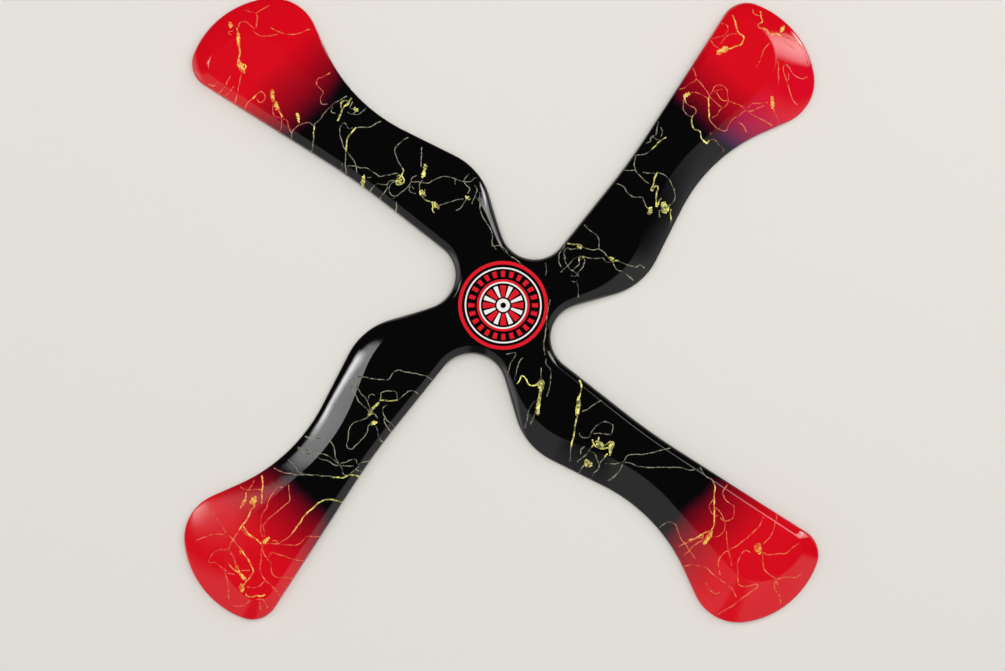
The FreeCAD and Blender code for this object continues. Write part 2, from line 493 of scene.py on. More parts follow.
DULL = {
    "upper_right": [
        [(45.7, 0.4), (45.7, -1.8), (46, -4.7), (46, -6.8), (44.8, -8.5), (43.3, -9.9)],
        [(39, -5.1), (39.6, -6.8), (40.9, -8.7), (42.6, -10.1), (43.3, -11.8), (43.1, -14.2), (43.6, -16.6)],
        [(44.8, -18.5), (45.5, -20.9), (46.7, -23.2), (48.3, -25.4), (50, -26.1), (50.6, -28)],
        [(34.5, -2.3), (36.2, -3.7), (37.6, -4.9)],
        [(31, -3.9), (31.9, -2), (33.8, -1.2), (34.8, -1.9), (35.2, -3)],
        [(25.7, -6.3), (27.7, -6.3), (29.3, -6.5), (31.3, -6.2), (33.3, -6), (34.8, -6.7), (36, -8.8)],
        [(27.3, -5), (28, -3.3), (29.3, -1.7), (31.3, -0.6), (33.4, -0.3), (35.2, 0.2)],
        [(29.6, -5.6), (30.7, -3.4), (32, -1.9)],
        [(29.3, -8.9), (31.3, -9), (33.3, -9), (34.8, -8), (36, -9.2)],
        [(27.7, -10), (28.7, -11.3), (31.3, -11), (33.3, -11), (34.8, -10.3), (36, -9.3)],
        [(29.7, -6), (29.2, -7.8), (29.8, -10), (29.5, -12.4)],
        [(35.6, -6.8), (37.6, -9.9), (39.5, -12.3), (41.7, -14.2), (41.3, -15.4), (41.8, -16.9),
         (43.2, -17.2)],
        [(43.1, -17.3), (42.5, -19), (42.2, -21.3), (43.3, -23.7), (43.6, -26.1), (43.9, -28.6)],
        [(28, -12.7), (26.7, -14.7), (25.3, -16.3), (23.8, -17.9)],
        [(26.3, -11.6), (27, -13.1)],
        [(14.1, 20.4), (16.8, 16.8), (16.3, 12.8), (17, 9.6), (17.2, 6.7), (17.2, 4), (17, 2.2)],
        [(24.2, 0.4), (22.3, -1.7), (20.6, -3)],
        [(66.6, 3), (67.4, 0.1), (66.9, -1.8), (66.9, -4.7), (68.1, -6.3), (69.6, -8), (69, -9.4),
         (68.1, -11.3), (68, -13.2)],
        [(79.9, 5.5), (77.4, 4), (75.7, 2), (75, -0.4), (75, -3.2), (75.5, -5.8)],
        [(72.4, 4.8), (73.8, 3), (75.2, 1.9)],
        [(69, -18.2), (69.6, -17), (70.6, -16.1)],
        [(72.4, -20.9), (71, -22.3), (69.2, -23.4)],
        [(76.8, -1), (78.2, -2.7), (79.9, -4.6)],
        [(81, -5.1), (82, -7.7), (82.1, -10.1), (81.6, -12.5), (80.3, -15.3), (78.7, -16.9), (76.3, -17.6),
         (74.2, -17.4)],
        [(79.6, 5.9), (81.5, 4.2), (83.4, 3.2), (85.8, 2.9)],
        [(86.2, 6.1), (87.8, 5.3), (89.4, 6.4), (90.1, 4.6), (90.8, 3.2)],
        [(95.8, 8.8), (93.4, 7.3), (91, 5.8), (89.8, 6.8)],
        [(94.6, 6.6), (93.7, 4.7), (92, 4.1)],
        [(108.7, 6.3), (108.7, 4.7), (109.6, 2.3), (109.1, 1.3), (106.8, 1.1)],
        [(109.6, 8.2), (107.4, 6.6), (105.8, 4.5), (105.7, 2.4), (106.2, 1.1)],
        [(112.5, 8), (114.4, 6.6), (115.6, 4.2), (115.8, 2.3), (116.4, 1.2)],
        [(110.6, -4.4), (110.1, -7.2), (110.6, -10.6), (112, -12.4), (114.4, -11.5), (117.2, -11.2),
         (121, -11.9), (124, -12.2), (127, -12)],
        [(104.9, -10.6), (106, -11.5), (106, -14.4), (106.3, -17), (104.9, -17.6)],
        [(107, -8.4), (106.4, -9.4)],
        [(111.3, -5.1), (113.9, -5.6), (116.8, -5), (118.5, -5.5), (121, -4.8), (122.5, -3), (124, -1),
         (123.3, 2), (121.5, 2.9), (119.5, 2.4), (117.3, 1.8), (116.2, 1.2)],
        [(118.3, 10.2), (118.3, 7), (118, 4.4), (117.2, 1.8), (117, -1), (117.3, -4.4)],
        [(121, 14), (119.6, 11.6), (118.2, 10.2), (115, 10.9), (112.6, 10.9), (110.8, 12)],
        [(119.4, 1.8), (121.2, 1.1), (122.8, 0.2)],
        [(120, 0.6), (119.7, -3.3), (121, -5), (122.3, -7.5), (123.3, -10), (123.5, -13), (124.3, -16),
         (125.5, -19.5), (127, -23.8)],
        [(118, -13.2), (118.4, -16), (117.5, -18.5)],
        [(127, -12), (128.5, -13.3), (130.5, -15), (131.8, -16.2)],
        [(123.6, -13.1), (125.5, -14.3), (128, -15), (130.6, -16.4)],
        [(132, -19.3), (130.8, -21.5), (130.4, -24), (128.5, -25.2)],
        [(135.5, 13.4), (138, 13.8), (140.5, 13.3), (142.5, 12), (143.7, 10.8)],
        [(133.6, 12.8), (133.3, 14.5), (134, 16.7)],
        [(134.8, 17.4), (136.5, 16), (139, 14.8), (141.5, 15.3), (142.6, 17), (141.8, 18.8)],
        [(138.6, -3.1), (141.5, -2.3), (144, -1.3), (146.5, -0.3), (149.3, 0)],
        [(154.6, 14.4), (153.5, 12.5), (154.6, 10.3)],
        [(155, -1), (156, -3.5), (157.2, -6), (157.8, -9), (157.3, -11.5), (156, -14), (154.2, -16.3)],
        [(154.5, -0.4), (154.3, -3), (154.5, -6), (154.9, -9)],
        [(140, -14), (142, -12), (144.5, -9.5), (146.3, -7.6)],
        [(139.5, -24.8), (139.8, -22.5), (141, -20), (142.5, -17), (144, -14), (145.5, -11.5),
         (147.4, -10.3), (147.8, -11.7), (147.4, -14), (147.3, -16.5), (148.5, -18.9), (150.8, -19.9)],
        [(144, -15.5), (145.9, -13.8)],
    ],
    "upper_left": [
        [(18, -14.2), (20.5, -15), (23, -17.5), (27, -19), (31, -20), (34.5, -22), (36.5, -24.5)],
        [(39.8, -14.2), (39.4, -16.6), (40, -19), (40.2, -20.4)],
        [(41.2, -19.6), (42.9, -17), (44.3, -14.2), (45.6, -11.8), (46.3, -10.9)],
        [(55.7, -8), (57.1, -7), (58.7, -7.3), (59.2, -8.5), (57.6, -8.5)],
        [(55.7, -9.9), (57.4, -11.8), (57.7, -13.5)],
        [(61.9, -17), (63.8, -19), (65.7, -20.9), (67.6, -22.8)],
        [(60.5, -9.9), (59, -11.3), (57.1, -12.8), (55.5, -14), (54.8, -16.1), (54, -18.5), (52.9, -20.4),
         (51, -21.8), (49, -23), (47.1, -23.7), (45.5, -24.9), (44.3, -26.3), (44, -29.3)],
        [(47.4, -21.4), (48.9, -22.9)],
        [(41.4, -22.3), (42.4, -24.1), (44.4, -24.2), (46.2, -24.9), (46.7, -26.5), (46.7, -28.6)],
        [(37.4, -20.4), (38.1, -22.3), (39, -24.2), (40.2, -26.1), (41.9, -26.8)],
        [(34.3, -22.3), (36.2, -23.2), (37.6, -25.1), (38.6, -26.1)],
        [(60.6, 0), (60.2, -2.8), (60, -5.6), (60, -8), (60.5, -9.9), (61.2, -11.3), (60.7, -13.2)],
        [(60.3, -2.3), (61, -1.1), (62.4, -0.8), (63.8, -1.3), (65, -2.8), (65.3, -4.7), (64.6, -5.7)],
        [(65.7, -11.1), (67.6, -11.6), (70, -12.3), (72.4, -13.2), (74, -14.7), (74.5, -17), (74.5, -19.4),
         (74, -21.8)],
        [(56.3, 2.6), (57.4, 1), (58.8, -0.3)],
        [(64.5, 4.6), (64.5, 2.5), (64.7, 0.1), (65.3, -2.1)],
        [(69, 4.9), (69.3, 2.5), (69.4, 0.2), (67.6, -1.3), (66.2, -2.4), (66.5, -4.2), (65.4, -5.5)],
        [(82.5, 3.2), (80.3, 1.2), (78.7, 0.6), (76.8, -1.2), (74.4, -1.9), (72.4, -2.3), (70.5, -2.8),
         (69, -5.1), (67.6, -7), (66.4, -8.6)],
        [(72.6, -0.3), (73.5, 0.8)],
        [(77.6, 2.6), (79.9, 1.2), (81.5, 0.1), (84.4, -0.3), (86.3, -0.6), (88.7, -1), (91, -2.2),
         (93.4, -3.7), (95.3, -5.8), (95.3, -8.1), (93.9, -7.8), (92.5, -7.5), (91.7, -8.9)],
        [(79.1, 6.5), (81, 5.1), (83, 3.7), (84.9, 1.8), (86.8, -0.3)],
        [(91, -9.6), (89.6, -11.5), (87.7, -13.4), (86.8, -16.3), (86.2, -18.9)],
        [(82.1, 7), (83.8, 5.3), (84.4, 4)],
        [(96.2, 10), (97.2, 7.5), (99.1, 5.4), (101, 3.2), (103, 1.3), (103.2, -1), (103.4, -3.4),
         (103.9, -5.8), (103.9, -8.7), (103.7, -11), (103.3, -13.4), (102.6, -16.5)],
        [(103, 1.4), (105.3, 1.8), (106.5, 3.5), (107.2, 4.9), (107.5, 7), (107, 9.4), (105.3, 11.3)],
        [(107.2, 9.4), (109.6, 8.5), (112, 7.3), (113.5, 7.7)],
        [(111, 12.9), (112, 10.4), (113.9, 8.4), (115.8, 7), (117.7, 6.1)],
        [(114.6, 8.6), (116.9, 9.3), (119.1, 8), (120.3, 6.6)],
        [(100.6, -8.2), (102, -7.6), (103.2, -9.2)],
        [(95.8, -13), (94.4, -14.1), (93.9, -16.3), (94.1, -18.6)],
        [(97.8, -12), (95.8, -13), (96, -14.6)],
        [(96.8, -15), (97.9, -13.9), (99.5, -16.3)],
        [(105.3, -8.8), (107.2, -7.2), (108.9, -8.6), (109.8, -10.6), (112, -11), (114.2, -11.2),
         (115.3, -13), (114.4, -15.3), (114, -18.5)],
        [(127, 15.6), (127.8, 13), (127.8, 10.5), (127.8, 7.5), (127, 5.9), (125, 6.4), (124, 8),
         (124.6, 9.6), (126.5, 9.7)],
        [(131.4, 17.1), (133, 14), (135, 11), (137, 8), (138.2, 6.2)],
        [(152, -5.5), (152.9, -7.3), (152, -9), (149.5, -9.6), (147.2, -9.9), (148.3, -12), (151.4, -14.5),
         (154, -13.3), (155.8, -12.4)],
        [(151.5, -14.5), (150.9, -17.5), (150, -20.6)],
        [(146.8, -8.9), (144.5, -8.8), (142, -10.5), (140.5, -12.5), (139.2, -14.9)],
        [(143, -14.4), (140.5, -15.3), (138, -16.5), (135.5, -18.5), (134, -20.5), (133, -23.5),
         (132, -25.2)],
        [(136.5, 17.8), (136, 15), (136.5, 12.4)],
        [(139, 18.3), (138.7, 15), (139.5, 12.5), (140.4, 9.9)],
        [(142.4, 15.4), (142, 17), (144.2, 18.5)],
        [(151.4, -1.6), (153.3, -1.4), (152.5, -3)],
    ],
    "lower_left": [
        [(39.2, 1.1), (40, -1.3), (41.2, -3.7), (42.9, -6.3), (44.8, -8.9), (46, -10.9), (47.6, -11.8),
         (49, -12), (50.5, -11.6), (51.9, -11.7), (53.3, -13.2), (55.2, -15.6), (57.4, -18.5),
         (59.5, -21.3)],
        [(47.1, 0.9), (47.9, -1.3), (49, -2.5), (51, -2.9), (52.9, -2.9), (54.5, -3)],
        [(54.4, -3.5), (53.3, -5), (52.9, -6.2), (54.3, -7.7), (56, -9.3), (57.4, -9.6), (58.6, -8.5),
         (59.7, -8)],
        [(62.8, 3.6), (63, 1.4), (63.2, -0.6), (62.8, -2.2), (62, -4), (60.8, -5), (59, -4.9)],
        [(65, 3.8), (64.9, 1.4), (64.2, -0.8), (63.3, -1.8)],
        [(66.6, -6.7), (68.1, -6.8), (69.7, -7.4), (71.5, -8.3), (73.8, -9), (75.6, -8.5), (77.6, -7.1),
         (79.8, -5.4), (81.5, -3.8), (80.8, -2.4), (78.8, -2.1), (75.7, -2.2), (72.8, -2.3), (71.2, -3),
         (69.8, -4), (68.4, -4)],
        [(64.9, -8.2), (63.6, -10.5), (62.9, -13.2), (62.9, -15.6), (62, -17.8), (61.9, -19.8), (62.4, -22)],
        [(65.6, -8), (65.6, -10.4), (65.7, -13.2), (65, -15.5), (64.2, -18), (63.6, -21.2)],
        [(62.9, -11.2), (61.4, -12.1), (60.1, -11.7), (59.8, -10.7)],
        [(70.1, 4.9), (70.3, 3), (69.8, 1.3), (68.6, -0.4), (68, -2)],
        [(65.3, -3.8), (64.9, -5.6), (65.5, -6.8)],
        [(93.5, 0.4), (95, -1.6), (96.3, -3.2), (98.2, -5.3), (100.1, -7.5), (102.5, -9.9), (104.4, -12.5),
         (105.8, -14.4), (106.5, -16.3), (107, -18.4)],
        [(83.6, 4.2), (85.8, 4.2), (87.7, 4.2), (89.4, 3.7), (89.8, 2.3), (89.1, 0.9), (88.2, -0.9)],
        [(83.4, 3.2), (82.7, 2), (83.9, 0.4), (85.8, -0.1), (87.5, -1), (88.9, -1.4), (89.9, -2.6),
         (90.3, -4.9), (91.5, -7.2), (92.5, -9.1), (93.4, -11.5), (94.6, -14.4), (95.1, -17.5)],
        [(85, 2.8), (86.8, 1.1), (88.2, -0.6)],
        [(88.2, -1.8), (87.7, -3.9), (86.3, -5.8), (84.9, -8), (84.5, -10.1), (85.3, -12.5), (87.2, -14.9),
         (89.1, -17.2), (89.9, -18.6)],
        [(88.4, -1.8), (88.7, -4.9), (89.4, -7.7), (91, -10.1), (92.5, -13), (93.9, -15.3), (94.8, -17.7)],
        [(100.4, -8.2), (101.4, -10.1), (101.1, -13), (100.8, -16.8)],
        [(78.5, 6.2), (81, 4.4), (83.3, 3.5)],
        [(83.5, 7.7), (84.6, 5.6), (85.4, 4.4)],
        [(120, 4.8), (122.5, 4.6), (125, 4), (126.8, 3.6), (126.3, 2.4), (127.5, 1.4)],
        [(107.8, -9.6), (110.1, -6.8), (112, -4.9), (113.9, -5.1), (117.2, -5.2), (121, -5.6), (124, -5.6),
         (126, -5), (127.2, -3.2), (128.6, -1.8)],
        [(129, -2), (128.6, -3.6), (127, -5.5), (125, -7.5), (122.5, -8.8), (120, -9.4), (117.5, -10.6),
         (114.5, -11.5), (112, -11.9), (110, -10.6)],
        [(113, 13.2), (114.7, 11.7), (117, 9.7), (119, 9.5), (121.5, 9.3), (123.5, 7.5), (126, 4.8),
         (128.5, 2), (130.5, 0)],
        [(124.2, 15.7), (126.5, 12.5), (128, 9.5), (129.5, 7), (131.5, 4.4), (133.5, 6.5), (135.5, 9),
         (136.4, 11), (136, 13), (134, 14.6), (132.4, 16.8)],
        [(131, -0.3), (132.4, 1), (133.5, 3.5), (134, 6)],
        [(131.6, -0.4), (134.5, 2.5), (137, 4.5), (139, 6.5), (140, 9.5), (140, 13), (140, 17), (140.6, 19)],
        [(132, -4.8), (132.8, -7.5), (132.4, -10)],
        [(138.2, -4.8), (138, -8), (137.8, -11), (137.6, -14), (136.8, -17), (136.5, -20), (135.8, -23),
         (135.2, -26)],
        [(138, -12.5), (139.8, -14.8), (142, -16.8), (145, -18.3), (148, -19.6)],
        [(144.5, -1), (143.3, -3), (142.3, -5.5), (142, -8), (144, -10.3), (146.5, -11.4), (149, -11),
         (150.3, -9.8), (149, -8.5), (148.5, -6.5), (148.8, -3), (150, -0.5), (152, 2), (154.8, 5.4)],
        [(147, 0.3), (148, -1.5), (148, -4.2)],
        [(140.5, 10.3), (143, 10.3), (145, 9.5), (146.7, 7.4)],
        [(149.5, 11.8), (153.5, 10.8), (155.5, 8.5)],
        [(141.6, 3.4), (144, 1)],
        [(146.6, 18.4), (146, 15.2), (147.8, 12.7)],
        [(149.2, 16.7), (147.5, 14.5)],
        [(136.6, 18), (136.2, 15.4)],
        [(116.3, -15.4), (118, -17.5), (120, -19.4), (121, -21), (121.4, -22.6)],
        [(116, -20.4), (118.5, -19.6), (120.6, -19.2)],
        [(133, -10.7), (135, -10.3), (138, -9.5), (140.5, -8.8), (142, -8.1)],
    ],
    "lower_right": [
        [(11, 15.2), (13.1, 11.7), (15.6, 8.5), (18.7, 4.6), (21.9, 0.6), (25, -2)],
        [(57.1, -19.9), (58.6, -21.8), (60.7, -24.4)],
        [(52.7, 1), (51.9, -2.3), (51.4, -5.1), (50.6, -7.3)],
        [(55.6, -14), (56.8, -14.7), (58.6, -14), (59.5, -12.7), (59, -10.9), (58.6, -9), (58.5, -6.6),
         (59.3, -4.4), (61, -3), (62.5, -2.7), (64, -4), (64.6, -5.6), (62.9, -7.5), (61, -9),
         (59.7, -10.4)],
        [(62.9, -14.3), (63.3, -17.5), (63.3, -19.4), (62.9, -22.5)],
        [(69.2, -13.4), (69.5, -16.1), (70.5, -18.5), (70.5, -20.9), (71.4, -23.2)],
        [(63.2, -16.3), (65.7, -15.6), (68.1, -16.6), (69.6, -16.9)],
        [(65.6, -20.8), (65.9, -23), (66.9, -25.4)],
        [(60.5, -16.4), (60.7, -18), (61.8, -19.4)],
        [(26.2, -2.5), (28, -4.2), (29.9, -4.2), (32.6, -6.5), (34.9, -9.2), (36.9, -12.9)],
        [(27.2, -6.5), (29.5, -8.5), (30.7, -9.6)],
        [(34.6, -17.3), (35, -20), (36.5, -22.9), (38.2, -25.3), (39.5, -27.2)],
        [(37.4, -19.6), (39, -22.3), (39.9, -25)],
        [(83, 3.8), (84.8, 6.6)],
        [(83.2, 4), (81, 0.4), (79.1, -2.5), (76.3, -5.3), (75.1, -7.2), (75.6, -9.6), (77, -13),
         (77, -16.3), (76.5, -19.4)],
        [(98.4, 8.6), (97.5, 7.4), (95.8, 5.4), (93, 4.2), (90.6, 1.8), (87.7, -1), (84.9, -3.9),
         (81.5, -6.8), (78.2, -8.4), (76.3, -9.6), (73.9, -12.7), (71.2, -15.4)],
        [(98.2, 9.5), (99.6, 9), (101, 8.5), (103, 8.7), (105.3, 9.2), (107.2, 8.5)],
        [(110.4, 12.2), (111, 9.4), (113, 7.7), (115.8, 7.6), (118.2, 7.7), (119.8, 6.3), (121, 4.5),
         (120.5, 2.5), (119.5, 1.3), (117.5, 1)],
        [(110.6, 4.2), (111.6, 1), (113.2, 0), (114.9, 0.1), (116.3, 0.7)],
        [(113.2, 2.4), (115.5, 2.5), (118, 2), (120, 0.7), (121.5, -0.5), (122.3, -3), (121.3, -5.8)],
        [(118.2, -9), (117, -10.6), (116.3, -12.5), (114.9, -15.3), (113.9, -18)],
        [(119, -10), (118, -12.3), (117.8, -15), (117.8, -18.8)],
        [(103.4, -17.9), (103.9, -15.3), (105.3, -13.5), (107.2, -13), (109.6, -14.1), (112.5, -15.3),
         (114.9, -15.6), (118, -16.4), (122, -17)],
        [(129.1, 13.2), (130.3, 9.5), (130.5, 6.5), (130.3, 3.5), (130, 0.5), (129.5, -2.5), (128.7, -5.5),
         (128, -8), (128.5, -11), (130, -12.8), (133, -14.6)],
        [(132.3, 17.4), (134, 14.5), (135.5, 12), (136.3, 9), (136.3, 5.4)],
        [(135, -0.3), (133.4, -1), (133.2, -3.5), (134.3, -6.5), (136.5, -9), (140, -12), (141, -12.4),
         (144, -9.8), (146, -7.4), (146, -10), (145.5, -14), (145, -18), (144, -22), (143, -25.8)],
        [(138.6, 3), (141, 4.1), (143, 6.5), (145, 9), (145.5, 12), (145.8, 15.3)],
        [(138.6, 2.6), (141, 0.5), (143.5, -1.2), (146.5, -1.3), (149.5, -0.5), (151.5, 2.5), (154, 5),
         (154.8, 7.8)],
        [(150, -1), (152.2, -2.2)],
        [(149.6, -1), (151, -3.3), (154.5, -4.3), (157.2, -6)],
        [(120.7, -22), (122.5, -19.5), (125, -17.8), (127.5, -16.5), (131, -16.5), (134.5, -16),
         (138, -15.5), (140, -15.3), (143, -16.4)],
        [(122.8, -1.2), (125.5, -3.5), (128, -5.5), (130.5, -7), (133.5, -9)],
        [(131, -20.8), (134.5, -21.5), (137, -21), (137.6, -19.8)],
        [(14, -12.1), (15.1, -10.4), (16.3, -9.4), (17, -11), (17.6, -13.1), (18.8, -15.4), (20.1, -17.3)],
        [(19.3, -8.6), (19.9, -11.2), (21.1, -13.5), (22.2, -15), (23.5, -17.2)],
    ],
}
BRIGHT = {
    "upper_right": [
        [(35.8, -0.2), (37.1, -1.8), (38.8, -3.7), (39, -5.1)],
        [(37.4, -4), (38.6, -4.6), (38, -5.4)],
        [(42.9, -15.5), (44.1, -16.6), (43.2, -17.4), (44.4, -18.2), (45.2, -19.6)],
        [(34, -8.2), (35.4, -7.2), (36.4, -8.8)],
        [(77.9, -6.2), (80.6, -5.1)],
        [(80.8, -5.1), (78.2, -6.3), (76, -7.5), (74.1, -8.7), (75.6, -8.4), (76.8, -8.9), (74.9, -10.6),
         (72.9, -12.3), (70.8, -14.1)],
        [(71, -14.6), (72.8, -13.7), (74.7, -13.3)],
        [(74.4, -19), (73.2, -20), (72.4, -20.9), (71.6, -21.8)],
        [(85.8, 2.9), (88.2, 2.9), (91, 2.9), (92.4, 2.6), (93.4, 2.1)],
        [(103, -10.6), (102.9, -7.9), (104.4, -5.3), (103.4, -3), (104.9, -0.6), (106.8, 1.1)],
        [(103, -10.5), (104.6, -10.5)],
        [(108.7, 6.3), (110, 8.1), (112.4, 8.5)],
        [(116.3, 1.3), (114.8, -0.3), (113.4, -1.5), (110.6, -4.4)],
        [(136.5, 9.5), (138, 8.8), (140, 7.8), (142, 7.8), (143.9, 8.8), (143.5, 11), (144.5, 13.5),
         (146, 15.7), (147, 18)],
        [(156.1, 11.4), (155, 10), (153.4, 8.2), (152, 8.4), (150.8, 7.2), (151.5, 6), (152.2, 4.2),
         (152.3, 2), (154, 0.8), (154.7, -1.4)],
        [(151.2, 6.6), (152.2, 4.8), (151.9, 3)],
        [(131.2, 11.2), (132.8, 11)],
    ],
    "upper_left": [
        [(45.3, -7.6), (46.7, -8), (47.6, -9.2), (49, -9.7), (51, -8.8), (53.3, -8.7), (55.1, -9.5)],
        [(53.2, -10), (54.4, -11.7)],
        [(65.1, -6.1), (63.4, -5.4), (62.4, -7), (62.9, -8.5), (64.6, -9.2), (65.5, -10.9), (66.6, -11.4)],
        [(65.7, -7.4), (65.3, -8.7), (64.4, -7.4)],
        [(71.9, 5.3), (72.9, 3.6), (74, 2.2), (75.2, 1)],
        [(86.8, -0.3), (88.7, -2.5), (90.3, -4.9), (90.6, -7.2), (91, -9.6)],
        [(99.9, 4.6), (101.6, 2.6), (103, 1.3)],
        [(107.7, 4.3), (109.6, 3.4), (111.2, 2.2)],
        [(98, -6.6), (98.7, -9.1), (100, -11.5), (100.4, -14.4), (100.8, -17.4)],
        [(98.6, -8), (99.8, -10.6), (102.2, -13.2), (100.6, -15.2), (99.9, -13)],
        [(114, 7.4), (116.5, 7), (118, 5.6), (119.6, 6.9)],
        [(152, -5), (149.8, -3.4), (148.8, -2.3), (147, -1), (144.5, 1), (143, 3), (141.8, 4.6),
         (139.8, 4.9), (137.4, 5.3)],
        [(138.4, 6.2), (139, 3.4), (140.8, 3.9), (142.6, 3.4)],
        [(127.6, 10.6), (127.8, 8.4)],
    ],
    "lower_left": [
        [(54.6, -3.1), (55.7, -3.9), (57, -5.2), (58.6, -6.8), (59.8, -8)],
        [(60.5, -7.7), (61.8, -7.4), (63, -7.5), (64.4, -7.3), (65.5, -7), (66.8, -6.6)],
        [(65, -8), (65.3, -6.4), (66.6, -7.2)],
        [(85.6, 7.5), (87.2, 5.4), (88.7, 4.4), (91, 3.2), (92.3, 1.8), (93.5, 0.4)],
        [(139.6, -3.8), (138.6, -4.6), (139, -2.5), (139.2, 0), (140, 2.5), (140.8, 4.4), (142, 5),
         (144, 5.4), (146, 5.5), (147.5, 5.7)],
        [(149, 8.6), (149.1, 9.9), (148, 11.3), (146.5, 11.9), (145.6, 13.4), (144, 14.1)],
        [(144.3, -1.5), (144.6, 0.2), (145.2, 1.8)],
        [(112.4, -19.7), (114.5, -17), (116.5, -15.2), (118.5, -13.4), (120.2, -11.9)],
        [(121.3, -19.3), (123, -17.9), (125, -17.1), (127.2, -16.4)],
        [(122.4, -13.6), (123.4, -13), (125, -12.8), (127, -12), (129.5, -11.3), (131.5, -11),
         (133.5, -10.6)],
        [(131.2, -0.8), (131.5, -4), (132, -7), (131.3, -10.4)],
        [(145.3, 1), (145.8, -2), (145.5, -4.2)],
        [(97.8, 9.9), (99.1, 7.5), (100.6, 5.9), (102.5, 4.2), (104.4, 3.6), (106.8, 3.5), (109.6, 3.2),
         (112.5, 3.3), (114.9, 3.9), (117.7, 4.4), (120.3, 4.8)],
    ],
    "lower_right": [
        [(41.2, 0.6), (43.3, -0.4), (45.2, -2.8), (46.4, -4.7), (48.6, -7.5), (50.5, -9.9), (52.4, -12.8),
         (54.8, -16.1), (57.1, -19.9)],
        [(45.4, -3.6), (46.2, -5.4), (48.2, -8), (50, -10.2)],
        [(46.8, -4.6), (48.6, -6.8), (50.4, -9.2)],
        [(25.1, -17.5), (24.7, -15.4), (24.4, -13.8), (26.5, -13.9), (28.8, -14.2), (30.3, -13.1),
         (31.1, -11.2)],
        [(32.4, -11.6), (34.6, -15), (35.9, -16.6), (38.8, -20.6)],
        [(31.6, -9.4), (33.6, -12.6), (35.7, -15.6), (37.6, -17.8), (39.6, -20.4)],
        [(30.3, -12.2), (32.2, -10.2), (33.4, -12)],
        [(62, -9.7), (63.2, -11.2), (64.6, -12.2), (66, -10.6), (67.3, -7.4), (68.9, -9.4), (70.3, -12.1)],
        [(61.2, -12.4), (63, -13.2), (65, -12.9), (66.6, -11.8), (68, -10.2), (69.6, -11.2)],
        [(62.9, -13.2), (62.9, -14.6)],
        [(69.2, -11.8), (69.2, -13.6)],
        [(107.2, 8.5), (109.1, 6.6), (110.6, 4.7), (112.5, 2.8), (114.9, 0.4), (117.2, -2), (118.7, -5)],
        [(118.4, -5.4), (117.2, -8), (118.4, -9.6)],
        [(117, -8.4), (116.4, -11.2), (115.2, -13.4)],
    ],
}
# Blots: middle along and across the blade, length, width, and turn in degrees.
BLOTS = {
    "upper_right": [(67.8, -13.8, 2.6, 1.9, 30), (73, -16.7, 4.2, 3.4, 60), (111.2, 8.4, 2.4, 1.6, 0),
                    (134, 10.9, 4.6, 2.6, -20), (133.2, -17.4, 4.6, 1.6, 45), (157.3, 0.5, 3.2, 1.3, 20),
                    (43.6, -16.6, 1.9, 1.4, -60), (38, -4.4, 2, 1.5, -45)],
    "upper_left": [(40.3, -21.2, 2, 1.7, 20), (47, -10.2, 3.6, 1.7, 0), (54, -9.9, 2.4, 2, 0),
                   (59.7, -16.5, 5.6, 1.5, -60), (64, -7, 2.2, 2.0, 0), (73.8, 3, 3.6, 1.2, -50),
                   (96.3, -15.2, 1.5, 1.4, 0), (109.8, 3.2, 3.4, 1.2, -30), (119, 6, 3.2, 1.7, -30),
                   (123, 4.3, 5.2, 1.5, -42), (139.6, 5, 5, 1.9, -15), (148.6, -2.3, 5.5, 1.3, -42),
                   (155, -4.2, 2.2, 1.7, -30)],
    "lower_left": [(67.5, -3.4, 2.7, 1.7, -15), (66, -7.1, 2, 1.5, 0), (62.6, -7.6, 3.4, 0.9, 5),
                   (129, -0.5, 3.2, 1.7, 0), (148.4, 6, 3, 2, 55), (145.2, 3, 3.6, 1.2, 90),
                   (121.5, -14.9, 3.1, 2.3, 20), (144.3, -0.8, 1.5, 1.2, 60), (125, -17, 3, 1.1, 20)],
    "lower_right": [(32, -11.2, 3.8, 2.8, -40), (66.4, -19.9, 3.2, 2.2, 0), (119.5, -7.8, 6, 2, -75),
                    (136.4, 2.8, 3.8, 3, -30), (64.6, -11.6, 4, 2.2, 10), (68.2, -9.2, 3.4, 1.8, -60),
                    (48.4, -7.4, 6.5, 1.2, -52), (36.6, -17.4, 6.5, 1.4, -50)],
}


def paint_finish(name, over_black, over_red):
    """Thin paint that takes on some colour of the lacquer below. Each colour is given thin and thick."""
    finish, shader, place = new_finish(name)
    starts, ends = OVER_RED
    red = spray_reach(place).ramp(FADE_START + starts, FADE_START + ends)
    run = place.cloud(scale=480, detail=3, roughness=0.65)
    below = []
    for thin, thick in (over_black, over_red):
        below.append(run.node("ValToRGB", {"stops": [(0.40, thin), (0.62, thick)]}, {0: run}))
    red.mix(*below).feed(shader, "Base Color")
    (PAINT_ROUGHNESS + RUN_ROUGHNESS * run).feed(shader, "Roughness")
    run.emboss(shader, 0.00002)
    return finish


def tangle(middle_x, middle_y, length, width, turn, shake):
    """A blot is one thread folded to and fro."""
    folds = max(4, round(length / FOLD_STEP))
    cosine, sine = math.cos(math.radians(turn)), math.sin(math.radians(turn))
    points = []
    for fold in range(folds + 1):
        along = (fold / folds - 0.5) * length
        room = 0.5 * width * math.sqrt(max(0.05, 1 - (2 * along / (length + 0.4)) ** 2))
        aside = room * (1 if fold % 2 else -1) * shake.uniform(*FOLD_REACH)
        along += shake.uniform(-FOLD_STRAY, FOLD_STRAY)
        points.append((middle_x + along * cosine - aside * sine, middle_y + along * sine + aside * cosine))
    return points


